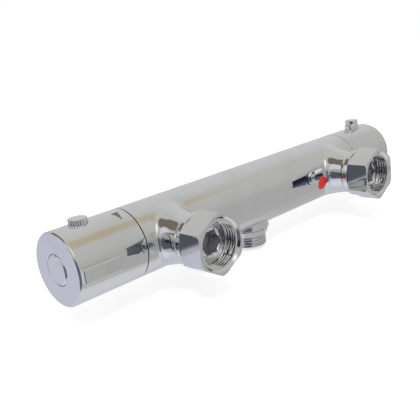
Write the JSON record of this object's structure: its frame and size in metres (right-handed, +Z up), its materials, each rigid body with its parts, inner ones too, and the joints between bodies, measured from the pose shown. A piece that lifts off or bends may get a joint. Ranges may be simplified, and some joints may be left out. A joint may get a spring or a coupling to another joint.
{
  "type": "thermostatic shower valve",
  "caption": "Exposed bar shower valve: a temperature knob with an override button at one end, a flow knob with an economy button at the other, wall unions behind and an outlet below.",
  "frame": {"origin": "midway between the two wall inlets, in the plane of the union nuts' open faces", "axes": "+X along the bar to the temperature knob, +Y from the bar to the wall, +Z up"},
  "size_m": [0.2812, 0.0714, 0.0575],
  "materials": {
    "chrome": "polished plate on brass",
    "bare_brass": "turned, nickel washed",
    "brass": "turned",
    "spring_steel": "drawn and blanked stainless",
    "seal_rubber": "moulded",
    "white_polymer": "moulded",
    "grey_polymer": "moulded",
    "ceramic": "lapped ceramic",
    "marker_red": "moulded"
  },
  "bodies": {
    "valve": {"valve_body": "chrome", "hot_marker": "marker_red", "cold_inlet_insert": "bare_brass", "hot_inlet_insert": "bare_brass", "cold_filter": "spring_steel", "hot_filter": "spring_steel", "cold_check_housing": "white_polymer", "hot_check_housing": "white_polymer", "cold_check_ring": "seal_rubber", "hot_check_ring": "seal_rubber", "cold_poppet_spring": "spring_steel", "hot_poppet_spring": "spring_steel", "outlet_nipple": "chrome", "outlet_seal": "seal_rubber", "thermostat_sleeve": "grey_polymer", "sleeve_rings": "seal_rubber", "cold_seat": "brass", "return_spring": "spring_steel", "thermostat_bonnet": "brass", "thermostat_bonnet_ring": "seal_rubber", "temperature_stop_ring": "white_polymer", "temperature_guide_ring": "white_polymer", "flow_housing": "grey_polymer", "flow_bottom_seal": "seal_rubber", "fixed_disc": "ceramic", "flow_bonnet": "brass", "flow_bonnet_ring": "seal_rubber", "flow_stop_ring": "white_polymer", "flow_guide_ring": "white_polymer"},
    "temperature_knob": {"temperature_handle": "chrome", "temperature_insert": "white_polymer", "temperature_screw": "spring_steel", "temperature_cap": "chrome", "thermostat_spindle": "brass", "thermostat_spindle_ring": "seal_rubber", "thermostat_circlip": "spring_steel", "override_spring": "spring_steel"},
    "override": {"override_button": "chrome", "override_pawl": "white_polymer"},
    "thermostat_slider": {"adjuster": "brass", "overload_plunger": "brass", "overload_spring": "spring_steel", "wax_element": "brass", "shuttle": "grey_polymer", "shuttle_ring": "seal_rubber"},
    "flow_knob": {"flow_handle": "chrome", "flow_insert": "white_polymer", "flow_screw": "spring_steel", "flow_cap": "chrome", "flow_spindle": "brass", "flow_spindle_ring": "seal_rubber", "flow_circlip": "spring_steel", "turning_disc": "ceramic", "flow_button_spring": "spring_steel"},
    "economy": {"flow_button": "chrome", "flow_pawl": "white_polymer"},
    "cold_nut": {"cold_union_nut": "chrome"},
    "hot_nut": {"hot_union_nut": "chrome"},
    "cold_check": {"cold_poppet": "grey_polymer"},
    "hot_check": {"hot_poppet": "grey_polymer"}
  },
  "joints": [
    {"name": "temperature_turn", "type": "hinge", "parent": "valve", "child": "temperature_knob", "pos_m": [0.1185, -0.0514, 0], "axis": [1, 0, 0], "range_deg": [-200, 0]},
    {"name": "override_press", "type": "slide", "parent": "temperature_knob", "child": "override", "axis": [0, 0, -1], "range_m": [0, 0.0018], "stiffness_N_per_m": 600, "springref_m": -0.002, "deforming": ["override_spring"]},
    {"name": "thermostat_shift", "type": "slide", "parent": "valve", "child": "thermostat_slider", "axis": [1, 0, 0], "range_m": [-0.00084, 0], "deforming": ["return_spring"]},
    {"name": "flow_turn", "type": "hinge", "parent": "valve", "child": "flow_knob", "pos_m": [-0.1185, -0.0514, 0], "axis": [-1, 0, 0], "range_deg": [0, 90]},
    {"name": "flow_press", "type": "slide", "parent": "flow_knob", "child": "economy", "axis": [0, 0, -1], "range_m": [0, 0.0018], "stiffness_N_per_m": 600, "springref_m": -0.002, "deforming": ["flow_button_spring"]},
    {"name": "cold_nut_spin", "type": "hinge", "parent": "valve", "child": "cold_nut", "pos_m": [0.075, -0.0072, 0], "axis": [0, 1, 0], "continuous": true},
    {"name": "cold_check_open", "type": "slide", "parent": "valve", "child": "cold_check", "axis": [0, -1, 0], "range_m": [0, 0.003], "stiffness_N_per_m": 40, "springref_m": -0.004, "deforming": ["cold_poppet_spring"]},
    {"name": "hot_nut_spin", "type": "hinge", "parent": "valve", "child": "hot_nut", "pos_m": [-0.075, -0.0072, 0], "axis": [0, 1, 0], "continuous": true},
    {"name": "hot_check_open", "type": "slide", "parent": "valve", "child": "hot_check", "axis": [0, -1, 0], "range_m": [0, 0.003], "stiffness_N_per_m": 40, "springref_m": -0.004, "deforming": ["hot_poppet_spring"]}
  ],
  "couplings": [
    {"joint": "thermostat_shift", "follows": "temperature_turn", "m_per_rad": 0.00023873}
  ]
}
